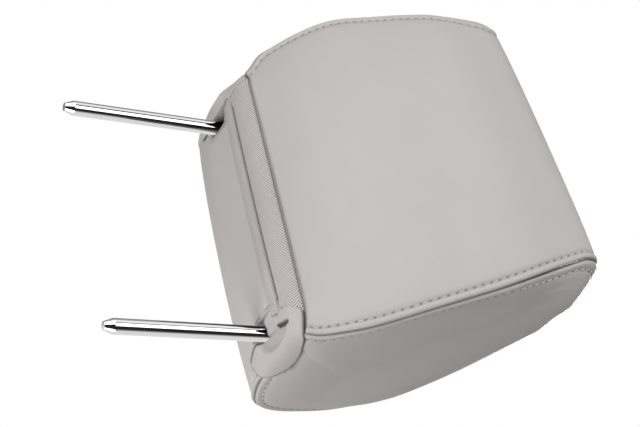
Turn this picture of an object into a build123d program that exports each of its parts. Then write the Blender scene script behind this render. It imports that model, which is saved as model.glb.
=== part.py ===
from build123d import *
import math
import os

# Tilting head restraint: a padded cushion that hinges on the crossbar of a bent steel rod.
# Frame: millimetres, +Z up, -Y towards the head (front). The origin is midway between the two
# post axes, at the level where they enter the cushion. Left is -X and right is +X, seen from
# the front.

# Post rod
POST_R = 5.0
POST_X = 85.0                # half the distance between the post axes
TIP_Z = -115.0
CONE_H = 6.0
CONE_TIP_R = 2.8
BEND_R = 22.0
BAR_Z = 80.0                 # height of the crossbar, which is the tilt axis
NOTCH_Z = (-70.0, -50.0, -30.0)
NOTCH_DEPTH = 1.6
NOTCH_H = 4.5

# Tilt
TILT_DEG = 14.0

# Cushion, seen from the side (y, z): a straight lower front, then arcs over the top and down the rear
FRONT_FOOT = (-46, -5)
FRONT_KNEE = (-90, 59)
SIDE_ARC_ENDS = [(-127, 150), (-110, 169), (-48, 160), (24, 104), (53, 37), (50, 9), (34, -5)]
# Half of the cushion seen from the front (x, z): its flank, from below the underside to above the top
FLANK_LOWER = [(114, -20), (120, 45), (111, 117)]
FLANK_TOP = (90, 185)
COVER_T = 3.0
UNDERSIDE_Z = -5.0
PANEL_SEAM_Y = -25.0         # where the front and rear panels meet behind the top
PANEL_TURN_Z = 5.0           # the front panel's lower edge is cut straight up to here

# Underside closing, from front to rear
TAPE_FRONT_Y = -44.0
CLOSING_Y = -24.0
TAPE_REAR_Y = -15.0
EAR_INNER_X = 64.0
EAR_REAR_Y = 15.0

# Slots that let the posts travel as the cushion tilts
SLOT_R = 6.5
SLOT_SPARE = 0.3
SLOT_RUN = (BAR_Z - UNDERSIDE_Z) * math.tan(math.radians(TILT_DEG)) + SLOT_SPARE
LINER_T = 1.2
CORE_SLOT_CLEARANCE = 0.5

# Core shells
CORE_POINTS = [
    (-34, 14), (20, 14), (24, 62), (14, 96), (-22, 118), (-72, 128), (-84, 112), (-60, 55),
]
CORE_HALF = 95.0
CORE_T = 2.5
CORE_Z = 14.0
WEB_T = 3.0
WEB_X = (27.0, 36.0)
BOSS_R = 5.5
SCREW_X = 52.0
SCREW_Z = (34.0, 92.0)
SCREW_R = 1.9
PILOT_R = 1.75
SCREW_LENGTH = 25.0
SCREW_HEAD_R = 3.8
SCREW_HEAD_H = 3.0
SCREW_SEAT_Y = 8.0
SOCKET_R = 1.6
HOLE_CLEARANCE = 0.3
HEAD_CLEARANCE = 0.4
PILOT_SPARE = 2.0            # how much deeper a pilot hole is than its screw

# Pivot bushes and friction clips
BUSH_R = 8.0
BUSH_CLEARANCE = 0.05
BUSH_SLIT = 1.2
BUSH_FLANGE_R = 9.5
BUSH_FLANGE_T = 1.5
CLIP_CLEARANCE = 0.04
CLIP_T = 1.5
CLIP_GAP = 1.4
CLIP_X = 8.0
CLIP_W = 12.0
CLIP_TAIL = 22.0
CLIP_SCREW_DROP = 16.0       # from the crossbar down to the clip screws

# Tilt stop
LUG_HALF_W = 4.0
LUG_RING_R = 9.0
LUG_HALF_T = 3.0
LUG_LENGTH = 21.0
STOP_GAP = 0.3
BUFFER_T = 3.0
BUFFER_H = 10.0
BUFFER_RISE = 6.0            # from the lug's end up to the middle of the buffers
RIB_HALF_W = 5.0
RIB_H = 14.0

# Hooked closing profiles behind the tapes
HOOK_T = 1.4
HOOK_HALF = 61.0
HOOK_FRONT_Y = (-28.5, -21.5)
HOOK_FRONT_Z = (0.5, 5.5)    # from the tip of its hook to its top
HOOK_REAR_Y = (-26.0, -18.0)
HOOK_REAR_TOP = 3.0
HOOK_REAR_TIP = 3.2
GROOVE_Y = (-29.5, -17.0)
GROOVE_TOP = 6.5
GROOVE_SPARE = 1.0

FAR = 200.0                  # beyond every surface of the cushion
TAB_FACE = CLIP_GAP / 2 + CLIP_T
CLIP_SCREW_Z = BAR_Z - CLIP_SCREW_DROP
FOAM_Z = UNDERSIDE_Z + COVER_T
SIDES = {"left": -1, "right": 1}

os.makedirs("parts", exist_ok=True)


def save(piece, name):
    piece.part.label = name
    export_step(piece.part, f"parts/{name}.step")


# ---------------------------------------------------------------- shared outlines
with BuildSketch() as side_outer:
    with BuildLine():
        run = Line(FRONT_FOOT, FRONT_KNEE)
        for end in SIDE_ARC_ENDS:
            run = TangentArc(run @ 1, end, tangent=run % 1)
        Line(run @ 1, FRONT_FOOT)
    make_face()

with BuildSketch() as side_inner:
    add(side_outer.sketch)
    offset(amount=-COVER_T)

with BuildSketch() as outline_outer:
    with BuildLine():
        lower = ThreePointArc(*FLANK_LOWER)
        upper = TangentArc(lower @ 1, FLANK_TOP, tangent=lower % 1)
        mirror(lower, about=Plane.YZ)
        mirror(upper, about=Plane.YZ)
        Line((-FLANK_LOWER[0][0], FLANK_LOWER[0][1]), FLANK_LOWER[0])
        Line((-FLANK_TOP[0], FLANK_TOP[1]), FLANK_TOP)
    make_face()

with BuildSketch() as outline_inner:
    add(outline_outer.sketch)
    offset(amount=-COVER_T)

with BuildSketch() as core_outer:
    with BuildLine():
        Polyline(*CORE_POINTS, close=True)
    make_face()

with BuildSketch() as core_inner:
    add(core_outer.sketch)
    offset(amount=-CORE_T, kind=Kind.INTERSECTION)


# ---------------------------------------------------------------- post rod
def post_slots(radius):
    """The two slots, in the XY plane of the sketch being built."""
    with Locations((-POST_X, -SLOT_RUN / 2), (POST_X, -SLOT_RUN / 2)):
        SlotCenterToCenter(SLOT_RUN, 2 * radius, rotation=90)


with BuildPart() as post_rod:
    with BuildLine() as rod_path:
        FilletPolyline(
            (-POST_X, 0, TIP_Z + CONE_H),
            (-POST_X, 0, BAR_Z),
            (POST_X, 0, BAR_Z),
            (POST_X, 0, TIP_Z + CONE_H),
            radius=BEND_R,
        )
    with BuildSketch(Plane(origin=(-POST_X, 0, TIP_Z + CONE_H))):
        Circle(POST_R)
    sweep(path=rod_path.wires()[0])
    for side in SIDES.values():
        with BuildSketch(Plane.XY.offset(TIP_Z)):
            with Locations((side * POST_X, 0)):
                Circle(CONE_TIP_R)
        with BuildSketch(Plane.XY.offset(TIP_Z + CONE_H)):
            with Locations((side * POST_X, 0)):
                Circle(POST_R)
        loft()
    # height-lock notches on the rear of the left post
    for z in NOTCH_Z:
        with BuildSketch(Plane.YZ.offset(-POST_X)):
            with Locations((POST_R, z)):
                Rectangle(2 * NOTCH_DEPTH, NOTCH_H)
        extrude(amount=2 * POST_R, both=True, mode=Mode.SUBTRACT)
save(post_rod, "post_rod")

with BuildPart() as stop_lug:
    with BuildSketch(Plane.YZ):
        with Locations((0, BAR_Z)):
            Circle(LUG_RING_R)
        with Locations((0, BAR_Z - LUG_LENGTH / 2)):
            Rectangle(2 * LUG_HALF_T, LUG_LENGTH)
        with Locations((0, BAR_Z)):
            Circle(POST_R, mode=Mode.SUBTRACT)
    extrude(amount=LUG_HALF_W, both=True)
save(stop_lug, "stop_lug")


# ---------------------------------------------------------------- pivot and friction
for name, side in SIDES.items():
    with BuildPart() as bush:
        with BuildSketch(Plane.YZ.offset(side * WEB_X[0])):
            with Locations((0, BAR_Z)):
                Circle(BUSH_R)
        extrude(amount=side * (WEB_X[1] + WEB_T - WEB_X[0]))
        with BuildSketch(Plane.YZ.offset(side * (WEB_X[1] + WEB_T))):
            with Locations((0, BAR_Z)):
                Circle(BUSH_FLANGE_R)
        extrude(amount=side * BUSH_FLANGE_T)
        with BuildSketch(Plane.YZ):
            with Locations((0, BAR_Z)):
                Circle(POST_R + BUSH_CLEARANCE)
            with Locations((BUSH_R, BAR_Z)):
                Rectangle(2 * BUSH_R, BUSH_SLIT)
        extrude(amount=side * FAR, mode=Mode.SUBTRACT)
    save(bush, f"pivot_bush_{name}")

    with BuildPart() as clip:
        with BuildSketch(Plane.YZ.offset(side * CLIP_X)):
            with Locations((0, BAR_Z)):
                Circle(POST_R + CLIP_CLEARANCE + CLIP_T)
            with Locations((0, BAR_Z - CLIP_TAIL / 2)):
                Rectangle(2 * TAB_FACE, CLIP_TAIL)
            with Locations((0, BAR_Z)):
                Circle(POST_R + CLIP_CLEARANCE, mode=Mode.SUBTRACT)
            with Locations((0, BAR_Z - CLIP_TAIL / 2)):
                Rectangle(CLIP_GAP, CLIP_TAIL, mode=Mode.SUBTRACT)
        extrude(amount=side * CLIP_W)
        with BuildSketch(Plane.XZ):
            with Locations((side * (CLIP_X + CLIP_W / 2), CLIP_SCREW_Z)):
                Circle(SCREW_R + HOLE_CLEARANCE)
        extrude(amount=2 * TAB_FACE, both=True, mode=Mode.SUBTRACT)
    save(clip, f"friction_clip_{name}")


# ---------------------------------------------------------------- screws, driven from the rear
def screw_group(places, seat_y, length):
    """Socket-head screws along Y, their heads on the plane y = seat_y."""
    with BuildPart() as screws:
        with BuildSketch(Plane.XZ.offset(-seat_y)):
            with Locations(*places):
                Circle(SCREW_R)
        extrude(amount=length)
        with BuildSketch(Plane.XZ.offset(-seat_y)):
            with Locations(*places):
                Circle(SCREW_HEAD_R)
        extrude(amount=-SCREW_HEAD_H)
        with BuildSketch(Plane.XZ.offset(-seat_y - SCREW_HEAD_H)):
            with Locations(*places):
                RegularPolygon(SOCKET_R, 6)
        extrude(amount=SCREW_HEAD_H / 2, mode=Mode.SUBTRACT)
    return screws


CORE_SCREWS = [(side * SCREW_X, z) for side in SIDES.values() for z in SCREW_Z]
CLIP_SCREWS = [(side * (CLIP_X + CLIP_W / 2), CLIP_SCREW_Z) for side in SIDES.values()]
save(screw_group(CORE_SCREWS, SCREW_SEAT_Y, SCREW_LENGTH), "core_screws")
save(screw_group(CLIP_SCREWS, TAB_FACE, SCREW_LENGTH / 2), "clip_screws")


# ---------------------------------------------------------------- core shells and buffers
# The plane of the side view turned by the full tilt: the front buffer and its rib lie square to
# the lug as the cushion meets it there.
lean = math.radians(TILT_DEG)
tilted = Plane(
    origin=(0, 0, BAR_Z),
    x_dir=(0, math.cos(lean), -math.sin(lean)),
    z_dir=(1, 0, 0),
)
BUFFER_Y = LUG_HALF_T + STOP_GAP
BUFFER_Z = -LUG_LENGTH + BUFFER_RISE

with BuildPart() as stop_buffer_rear:
    with BuildSketch(Plane.YZ):
        with Locations((BUFFER_Y + BUFFER_T / 2, BAR_Z + BUFFER_Z)):
            Rectangle(BUFFER_T, BUFFER_H)
    extrude(amount=LUG_HALF_W, both=True)
save(stop_buffer_rear, "stop_buffer_rear")

with BuildPart() as stop_buffer_front:
    with BuildSketch(tilted):
        with Locations((-BUFFER_Y - BUFFER_T / 2, BUFFER_Z)):
            Rectangle(BUFFER_T, BUFFER_H)
    extrude(amount=LUG_HALF_W, both=True)
save(stop_buffer_front, "stop_buffer_front")


def core_common():
    """Walls and saddle webs, added to the part being built."""
    add(core_walls.part)
    for side in SIDES.values():
        for x in WEB_X:
            with BuildSketch(Plane.YZ.offset(side * x)) as web:
                add(core_inner.sketch)
            extrude(web.sketch, amount=side * WEB_T)


def core_cuts():
    """Bush seats and post slots, cut from the part being built."""
    with BuildSketch(Plane.YZ) as seat:
        with Locations((0, BAR_Z)):
            Circle(BUSH_R)
    extrude(seat.sketch, amount=WEB_X[1] + WEB_T, both=True, mode=Mode.SUBTRACT)
    with BuildSketch(Plane.XY.offset(CORE_Z)) as slots:
        post_slots(SLOT_R + CORE_SLOT_CLEARANCE)
    extrude(slots.sketch, amount=CORE_T, mode=Mode.SUBTRACT)


with BuildPart() as core_block:
    with BuildSketch(Plane.YZ):
        add(core_outer.sketch)
    extrude(amount=CORE_HALF, both=True)

with BuildPart() as core_walls:
    add(core_block.part)
    with BuildSketch(Plane.YZ):
        add(core_inner.sketch)
    extrude(amount=CORE_HALF - CORE_T, both=True, mode=Mode.SUBTRACT)

with BuildPart() as core_front_shell:
    core_common()
    # screw bosses, clip bosses and the front stop rib reach the front wall
    with BuildSketch(Plane.XZ):
        with Locations(*CORE_SCREWS):
            Circle(BOSS_R)
    extrude(amount=FAR)
    with BuildSketch(Plane.XZ.offset(TAB_FACE)):
        with Locations(*CLIP_SCREWS):
            Circle(BOSS_R)
    extrude(amount=FAR)
    with BuildSketch(tilted):
        with Locations((-BUFFER_Y - BUFFER_T, BUFFER_Z)):
            Rectangle(FAR, RIB_H, align=(Align.MAX, Align.CENTER))
    extrude(amount=RIB_HALF_W, both=True)
    core_cuts()
    with BuildSketch(Plane.XZ):
        with Locations(*CORE_SCREWS):
            Circle(PILOT_R)
    extrude(amount=SCREW_LENGTH - SCREW_SEAT_Y + PILOT_SPARE, mode=Mode.SUBTRACT)
    with BuildSketch(Plane.XZ):
        with Locations(*CLIP_SCREWS):
            Circle(PILOT_R)
    extrude(amount=SCREW_LENGTH / 2 + PILOT_SPARE, mode=Mode.SUBTRACT)
    add(core_block.part, mode=Mode.INTERSECT)
    split(bisect_by=Plane.XZ, keep=Keep.TOP)
save(core_front_shell, "core_front_shell")

with BuildPart() as core_rear_shell:
    core_common()
    with BuildSketch(Plane.XZ):
        with Locations(*CORE_SCREWS):
            Circle(BOSS_R)
    extrude(amount=-FAR)
    with BuildSketch(Plane.YZ):
        with Locations((BUFFER_Y + BUFFER_T, BAR_Z + BUFFER_Z)):
            Rectangle(FAR, RIB_H, align=(Align.MIN, Align.CENTER))
    extrude(amount=RIB_HALF_W, both=True)
    core_cuts()
    with BuildSketch(Plane.XZ):
        with Locations(*CORE_SCREWS):
            Circle(SCREW_R + HOLE_CLEARANCE)
    extrude(amount=-FAR, mode=Mode.SUBTRACT)
    with BuildSketch(Plane.XZ.offset(-SCREW_SEAT_Y)):
        with Locations(*CORE_SCREWS):
            Circle(SCREW_HEAD_R + HEAD_CLEARANCE)
    extrude(amount=-FAR, mode=Mode.SUBTRACT)
    add(core_block.part, mode=Mode.INTERSECT)
    split(bisect_by=Plane.XZ, keep=Keep.BOTTOM)
save(core_rear_shell, "core_rear_shell")


# ---------------------------------------------------------------- foam pads
with BuildPart() as foam:
    with BuildSketch(Plane.YZ):
        add(side_inner.sketch)
    extrude(amount=FAR, both=True)
    with BuildSketch(Plane.XZ):
        add(outline_inner.sketch)
    extrude(amount=FAR, both=True, mode=Mode.INTERSECT)
    add(core_block.part, mode=Mode.SUBTRACT)
    with BuildSketch(Plane.XY.offset(UNDERSIDE_Z)):
        post_slots(SLOT_R + LINER_T)
    extrude(amount=CORE_Z - UNDERSIDE_Z, mode=Mode.SUBTRACT)
    with BuildSketch(Plane.YZ):
        with Locations((sum(GROOVE_Y) / 2, (FOAM_Z + GROOVE_TOP) / 2)):
            Rectangle(GROOVE_Y[1] - GROOVE_Y[0], GROOVE_TOP - FOAM_Z)
    extrude(amount=HOOK_HALF + GROOVE_SPARE, both=True, mode=Mode.SUBTRACT)

for name, keep in {"front": Keep.TOP, "rear": Keep.BOTTOM}.items():
    with BuildPart() as pad:
        add(foam.part)
        split(bisect_by=Plane.XZ, keep=keep)
    save(pad, f"foam_{name}_pad")


# ---------------------------------------------------------------- cover
def underside_patch(x0, x1, y0, y1):
    """A rectangle of the cover's underside, added to the part being built."""
    with BuildSketch(Plane.XY.offset(UNDERSIDE_Z - COVER_T)) as patch:
        with Locations(((x0 + x1) / 2, (y0 + y1) / 2)):
            Rectangle(abs(x1 - x0), y1 - y0)
    extrude(patch.sketch, amount=3 * COVER_T)


with BuildPart() as front_region:
    with BuildSketch(Plane.YZ):
        with BuildLine():
            Polyline(
                (-FAR, -FAR / 4), (TAPE_FRONT_Y, -FAR / 4), (TAPE_FRONT_Y, PANEL_TURN_Z),
                (PANEL_SEAM_Y, BAR_Z), (PANEL_SEAM_Y, FAR), (-FAR, FAR),
                close=True,
            )
        make_face()
    extrude(amount=FAR, both=True)

# the band of leather that runs round the cushion between the two gussets
with BuildPart() as band:
    with BuildSketch(Plane.YZ):
        add(side_outer.sketch)
        add(side_inner.sketch, mode=Mode.SUBTRACT)
    extrude(amount=FAR, both=True)
    with BuildSketch(Plane.XZ):
        add(outline_inner.sketch)
    extrude(amount=FAR, both=True, mode=Mode.INTERSECT)

with BuildPart() as cover_front_panel:
    add(band.part)
    add(front_region.part, mode=Mode.INTERSECT)
save(cover_front_panel, "cover_front_panel")

with BuildPart() as closing_patches:
    underside_patch(-FAR, FAR, TAPE_FRONT_Y, TAPE_REAR_Y)
    for side in SIDES.values():
        underside_patch(side * EAR_INNER_X, side * FAR, TAPE_REAR_Y, EAR_REAR_Y)

with BuildPart() as cover_rear_panel:
    add(band.part)
    add(front_region.part, mode=Mode.SUBTRACT)
    add(closing_patches.part, mode=Mode.SUBTRACT)
save(cover_rear_panel, "cover_rear_panel")

for name, y0, y1 in (("front", TAPE_FRONT_Y, CLOSING_Y), ("rear", CLOSING_Y, TAPE_REAR_Y)):
    with BuildPart() as tape:
        underside_patch(-EAR_INNER_X, EAR_INNER_X, y0, y1)
        add(band.part, mode=Mode.INTERSECT)
    save(tape, f"closing_tape_{name}")

for name, side in SIDES.items():
    with BuildPart() as ear:
        underside_patch(side * EAR_INNER_X, side * FAR, TAPE_FRONT_Y, EAR_REAR_Y)
        add(band.part, mode=Mode.INTERSECT)
        with BuildSketch(Plane.XY.offset(UNDERSIDE_Z - COVER_T)):
            post_slots(SLOT_R)
        extrude(amount=3 * COVER_T, mode=Mode.SUBTRACT)
    save(ear, f"corner_ear_{name}")

    with BuildPart() as gusset:
        with BuildSketch(Plane.YZ):
            add(side_outer.sketch)
        extrude(amount=side * FAR)
        with BuildSketch(Plane.XZ):
            add(outline_outer.sketch)
            add(outline_inner.sketch, mode=Mode.SUBTRACT)
        extrude(amount=FAR, both=True, mode=Mode.INTERSECT)
    save(gusset, f"cover_side_{name}")

    with BuildPart() as liner:
        with BuildSketch(Plane.XY.offset(FOAM_Z)):
            with Locations((side * POST_X, -SLOT_RUN / 2)):
                SlotCenterToCenter(SLOT_RUN, 2 * (SLOT_R + LINER_T), rotation=90)
                SlotCenterToCenter(SLOT_RUN, 2 * SLOT_R, rotation=90, mode=Mode.SUBTRACT)
        extrude(amount=CORE_Z - FOAM_Z)
    save(liner, f"slot_liner_{name}")


# ---------------------------------------------------------------- hooked closing profiles
def hook_profile(rectangles):
    """A profile of the given (y0, y1, z0, z1) rectangles, run along the closing."""
    with BuildPart() as hook:
        with BuildSketch(Plane.YZ):
            for y0, y1, z0, z1 in rectangles:
                with Locations(((y0 + y1) / 2, (z0 + z1) / 2)):
                    Rectangle(y1 - y0, z1 - z0)
        extrude(amount=HOOK_HALF, both=True)
    return hook


HOOK_FRONT = [
    (HOOK_FRONT_Y[0], HOOK_FRONT_Y[0] + HOOK_T, FOAM_Z, HOOK_FRONT_Z[1]),
    (HOOK_FRONT_Y[0], HOOK_FRONT_Y[1], HOOK_FRONT_Z[1] - HOOK_T, HOOK_FRONT_Z[1]),
    (HOOK_FRONT_Y[1] - HOOK_T, HOOK_FRONT_Y[1], *HOOK_FRONT_Z),
]
HOOK_REAR = [
    (HOOK_REAR_Y[1] - HOOK_T, HOOK_REAR_Y[1], FOAM_Z, HOOK_REAR_TOP),
    (*HOOK_REAR_Y, FOAM_Z, FOAM_Z + HOOK_T),
    (HOOK_REAR_Y[0], HOOK_REAR_Y[0] + HOOK_T, FOAM_Z, HOOK_REAR_TIP),
]
save(hook_profile(HOOK_FRONT), "closing_hook_front")
save(hook_profile(HOOK_REAR), "closing_hook_rear")
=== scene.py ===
"""A tilting head restraint: the looks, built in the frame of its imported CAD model."""
import math

import bmesh
import bpy
import numpy as np
from mathutils import Matrix, Vector
from mathutils.bvhtree import BVHTree


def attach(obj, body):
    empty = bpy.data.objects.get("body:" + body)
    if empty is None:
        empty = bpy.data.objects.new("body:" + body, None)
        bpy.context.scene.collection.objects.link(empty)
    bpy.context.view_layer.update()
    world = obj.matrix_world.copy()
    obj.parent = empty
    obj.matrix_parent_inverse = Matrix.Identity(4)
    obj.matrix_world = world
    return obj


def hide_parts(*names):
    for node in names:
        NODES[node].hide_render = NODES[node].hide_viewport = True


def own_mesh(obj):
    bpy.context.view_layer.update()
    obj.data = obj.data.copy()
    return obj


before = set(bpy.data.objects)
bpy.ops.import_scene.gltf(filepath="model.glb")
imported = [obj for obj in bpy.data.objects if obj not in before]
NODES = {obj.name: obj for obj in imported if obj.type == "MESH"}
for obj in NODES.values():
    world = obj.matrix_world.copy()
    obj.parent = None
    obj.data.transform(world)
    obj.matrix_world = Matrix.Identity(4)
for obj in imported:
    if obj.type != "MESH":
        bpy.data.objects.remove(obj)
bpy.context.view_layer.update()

MM = 0.001

# ------------------------------------------------------------------ cushion outline
# The seam between the band (front, top, rear, underside) and a side gusset, as a closed loop of
# (y, z, half width) in millimetres: up the front, over the top, down the rear, along the underside.
SEAM_LOOP = [
    (-42, -4, 108), (-47, 5, 112), (-56, 16, 115.5), (-67, 29, 118.8), (-80, 45, 120.2), (-91, 61, 119.6),
    (-100, 79, 117.2), (-109, 98, 114.6), (-117, 117, 111), (-123, 140, 105), (-126, 157, 100.5),
    (-121, 169, 99.5), (-104, 172.5, 99.5), (-83, 170, 100), (-62, 164, 101), (-44, 155, 102),
    (-24, 143, 104), (-6, 130, 106), (12, 114, 107.5), (27, 98, 108.5), (39, 78, 109.5), (47, 57, 110.5),
    (50.2, 37.3, 109.6), (48.8, 18.8, 108.6), (41.8, 5, 107.8), (27.5, -1.9, 106.6), (8, -5.2, 106),
    (-12, -6, 105), (-30, -6, 104),
]
GUSSET_CORE = [(-90, 128), (-4, 44)]      # the dome's highest line, seen from the side (y, z)
GUSSET_CORE_X = 116.0                      # and how far out it lies
LOOP_SAMPLES = 560


def catmull_rom(points, samples):
    """A closed smooth curve through the points, evenly spaced along its length."""
    p = np.array(points, float)
    steps = 24
    t = np.linspace(0, 1, steps, endpoint=False)[:, None]
    spans = []
    for i in range(len(p)):
        a, b, c, d = p[i - 1], p[i], p[(i + 1) % len(p)], p[(i + 2) % len(p)]
        spans.append(
            b + 0.5 * t * (c - a) + t**2 * (a - 2.5 * b + 2 * c - 0.5 * d)
            + 0.5 * t**3 * (3 * b - a - 3 * c + d)
        )
    fine = np.concatenate(spans + [p[:1]])
    length = np.concatenate([[0], np.cumsum(np.linalg.norm(np.diff(fine[:, :2], axis=0), axis=1))])
    at = np.linspace(0, length[-1], samples, endpoint=False)
    return np.stack([np.interp(at, length, fine[:, k]) for k in range(p.shape[1])], 1), length[-1]


def smooth(x, lo, hi):
    """A soft step from 0 at lo to 1 at hi."""
    t = np.clip((x - lo) / (hi - lo), 0, 1)
    return t * t * (3 - 2 * t)


loop, LOOP_LENGTH = catmull_rom(SEAM_LOOP, LOOP_SAMPLES)
STEP = LOOP_LENGTH / LOOP_SAMPLES
tangent = np.roll(loop[:, :2], -1, 0) - np.roll(loop[:, :2], 1, 0)
tangent /= np.linalg.norm(tangent, axis=1)[:, None]
outward = np.stack([-tangent[:, 1], tangent[:, 0]], 1)      # in the side view, away from the cushion
# how far the band stands proud of the straight line between its seams: most at the front and the
# rear, little over the top, almost none on the underside
under = smooth(loop[:, 1], 26, -4)
top = smooth(loop[:, 1], 120, 165)
crown = (7.0 + 3.0 * smooth(loop[:, 0], -90, 20)) * (1 - under) * (1 - top) + 1.5 * under + 1.0 * top
band_roll = 3.0 - 2.0 * under - 1.5 * top
rearward = smooth(loop[:, 0] * 0.79 + loop[:, 1] * 0.61, -20, 30)
gusset_roll = 1.5 + 8.0 * rearward * smooth(loop[:, 1], 20, 110)
ROLL_REACH = 8.0                           # how fast a panel rises beside its seam
core = np.array(GUSSET_CORE, float)
core_dir = core[1] - core[0]
share = np.clip(((loop[:, :2] - core[0]) @ core_dir) / (core_dir @ core_dir), 0, 1)
core_point = core[0] + share[:, None] * core_dir
ring_table = np.column_stack([loop, outward, crown, band_roll, gusset_roll, core_point])


def ring(a):
    """The outline's values at arc positions a, in millimetres along the loop."""
    a = np.asarray(a, float)
    at = np.arange(LOOP_SAMPLES) * STEP
    return [np.interp(a, at, ring_table[:, k], period=LOOP_LENGTH) for k in range(ring_table.shape[1])]


def settled(points):
    """The cushion's slight lean: its right side hangs a little lower and stands a little taller.

    Its lower left front corner is pressed in, and its left side bulges a little above that corner.
    """
    p = np.array(points, float)
    x, z = p[..., 0].copy(), p[..., 2].copy()
    outer = smooth(np.abs(x), 86, 107)
    pressed = smooth(-x, 84, 110) * (1 - smooth(z, -4, 12)) * (1 - smooth(p[..., 1], -42, -14))
    p[..., 0] += 3.0 * outer * (1 - smooth(z, 0, 60)) - 1.2 * smooth(z, 90, 150) + 6.0 * pressed
    p[..., 0] -= 1.9 * smooth(-x, 84, 107) * smooth(z, 3, 14) * (1 - smooth(z, 42, 70))
    lean = -3.5 * (1 - smooth(z, 10, 90)) + 2.0 * smooth(z, 90, 165)      # at 110 mm to the right
    p[..., 2] = z + p[..., 0] / 110 * lean + 3.0 * pressed
    return p


def rise(distance):
    """How far a panel has risen beside its seam, from 0 towards 1."""
    return 1 - np.exp(-distance / ROLL_REACH)


def band_at(a, s):
    """The band's plain surface at arc positions a and crossings s, from -1 (left) to 1 (right)."""
    y, z, w, ny, nz, arch, roll = ring(a)[:7]
    proud = arch * (1 - np.abs(s) ** 2.4) + roll * rise(w * (1 - np.abs(s)))
    return settled(np.stack([s * w, y + ny * proud, z + nz * proud], -1))


def gusset_at(a, d, side):
    """A gusset's plain surface at arc positions a, a distance d from the seam; side is 1 or -1."""
    y, z, w, _, _, _, _, roll, cy, cz = ring(a)
    length = np.hypot(cy - y, cz - z)
    r = d / length
    x = w + (GUSSET_CORE_X - w) * (1 - np.maximum(1 - r, 0) ** 2.2) + roll * rise(d) * (1 - smooth(r, 0.3, 1))
    return settled(np.stack([side * x, y + (cy - y) * r, z + (cz - z) * r], -1))


def core_distance(a):
    """How far the side's core line is from the seam at arc positions a."""
    y, z, _, _, _, _, _, _, cy, cz = ring(a)
    return np.hypot(cy - y, cz - z)


def normals(surface, u, v, flip=1.0, step=0.05):
    """Unit normals of a surface given as a function of two arrays."""
    du = surface(u + step, v) - surface(u - step, v)
    dv = surface(u, v + step) - surface(u, v - step)
    n = np.cross(du, dv) * flip
    return n / np.maximum(np.linalg.norm(n, axis=-1), 1e-12)[..., None]


# ------------------------------------------------------------------ seams
STITCHES = round(LOOP_LENGTH / 5.5)
PITCH = LOOP_LENGTH / STITCHES
ROWS_PER_STITCH = 4
ROW = PITCH / ROWS_PER_STITCH              # the distance between a panel's rows of points
GAP_A = 4.3                                # where the front panel meets the closing tape
CLOSING_A = -12.0                          # the closing line along the underside
TAPE_END_A = -24.0                         # the rear tape's other edge
TOP_SEAM_A = 268.0                         # where the front and rear panels meet, behind the top
LIP_PROFILE = [                            # a seam's turned-in lip: distance from the seam, height
    (0, -1.9), (0.25, -0.7), (0.6, 0.05), (1.1, 0.6), (1.8, 0.95), (2.6, 1.05), (3.5, 0.85), (4.2, 0.35),
    (4.8, -0.25), (5.3, -0.6), (5.8, -0.5), (6.5, -0.2), (7.5, 0.05), (9, 0.15), (11, 0.1), (14, 0),
]
ROW_D = 5.3                                # the topstitch row's distance from the seam
UNDER_EAR = 1.2                            # how much lower the leather lies under an ear
SEAM_COLUMNS = [d for d, _ in LIP_PROFILE] + [*range(16, 37, 2), 39, 43, 48, 54, 62, 71]


def lip(d):
    """The lip's height at distances d from the seam."""
    return np.interp(d, *zip(*LIP_PROFILE))


def needle_holes(a, d):
    """1 at a needle hole of the topstitch row, fading to 0 within a millimetre."""
    off = (a / PITCH + 0.5) % 1 - 0.5
    return np.exp(-((off * PITCH / 0.9) ** 2)) * np.exp(-(((d - ROW_D) / 0.55) ** 2))


def rolled(e, radius):
    """How far a sheet dips towards its own edge, a distance e away, when the edge is turned in."""
    e = np.clip(e, 0, radius)
    return radius - np.sqrt(np.maximum(radius**2 - (radius - e) ** 2, 0))


def seam_shade(a, d):
    """Painted shade in the seam's crease and in the needle holes."""
    return np.clip(0.75 * np.exp(-((d / 0.7) ** 2)) + 0.9 * needle_holes(a, d), 0, 1)


def wrinkle(a, d, side):
    """Small puckers that run across a seam where it turns the top corner."""
    turn = smooth(a, 190, 215) * (1 - smooth(a, 232, 262))
    wave = np.sin(a * 0.9 + 0.8 * side) + 0.6 * np.sin(a * 1.45 + 2.1 * side)
    return 0.16 * turn * wave * np.exp(-(((d - 2.5) / 3.2) ** 2))


def wrapped(a):
    """Arc positions, with those past half the loop counted backwards from its start instead."""
    return np.where(a > LOOP_LENGTH / 2, a - LOOP_LENGTH, a)


def tucked(u, a):
    """How far the leather is flattened, from 0 to 1, because an ear lies on it."""
    start = 0.3 - 1.5 * smooth(np.abs(u), 82, 87)
    return smooth((-outside_ears(u, wrapped(a)) - start) / (1.6 - start), 0, 1)


def turned_in(p, n, out, lift, d):
    """A panel raised by lift along its normals n, its edge turned in at the seam.

    out is the direction in which the panel on the seam's other side faces.
    """
    into = -(n + out) / math.sqrt(2)
    return p + n * lift[..., None] + into * (0.9 * np.exp(-((d / 0.45) ** 2)))[..., None]


def band_sheet(a, s, edges):
    """The band with its seams sewn; edges are (arc position, radius) where the sheet is turned in."""
    p = band_at(a, s)
    n = normals(band_at, a, s, -1)
    d = ring(a)[2] * (1 - np.abs(s))
    side = np.sign(s)
    under_ear = tucked(s * ring(a)[2], a)
    lift = (lip(d) - 0.55 * needle_holes(a, d)) * (1 - under_ear) - UNDER_EAR * under_ear
    lift = lift + wrinkle(a, d, side)
    for edge, radius in edges:
        lift = lift - rolled(np.abs(a - edge), radius)
    out = np.zeros_like(p)
    out[..., 0] = side
    return turned_in(p, n, out, lift, d)


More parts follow.
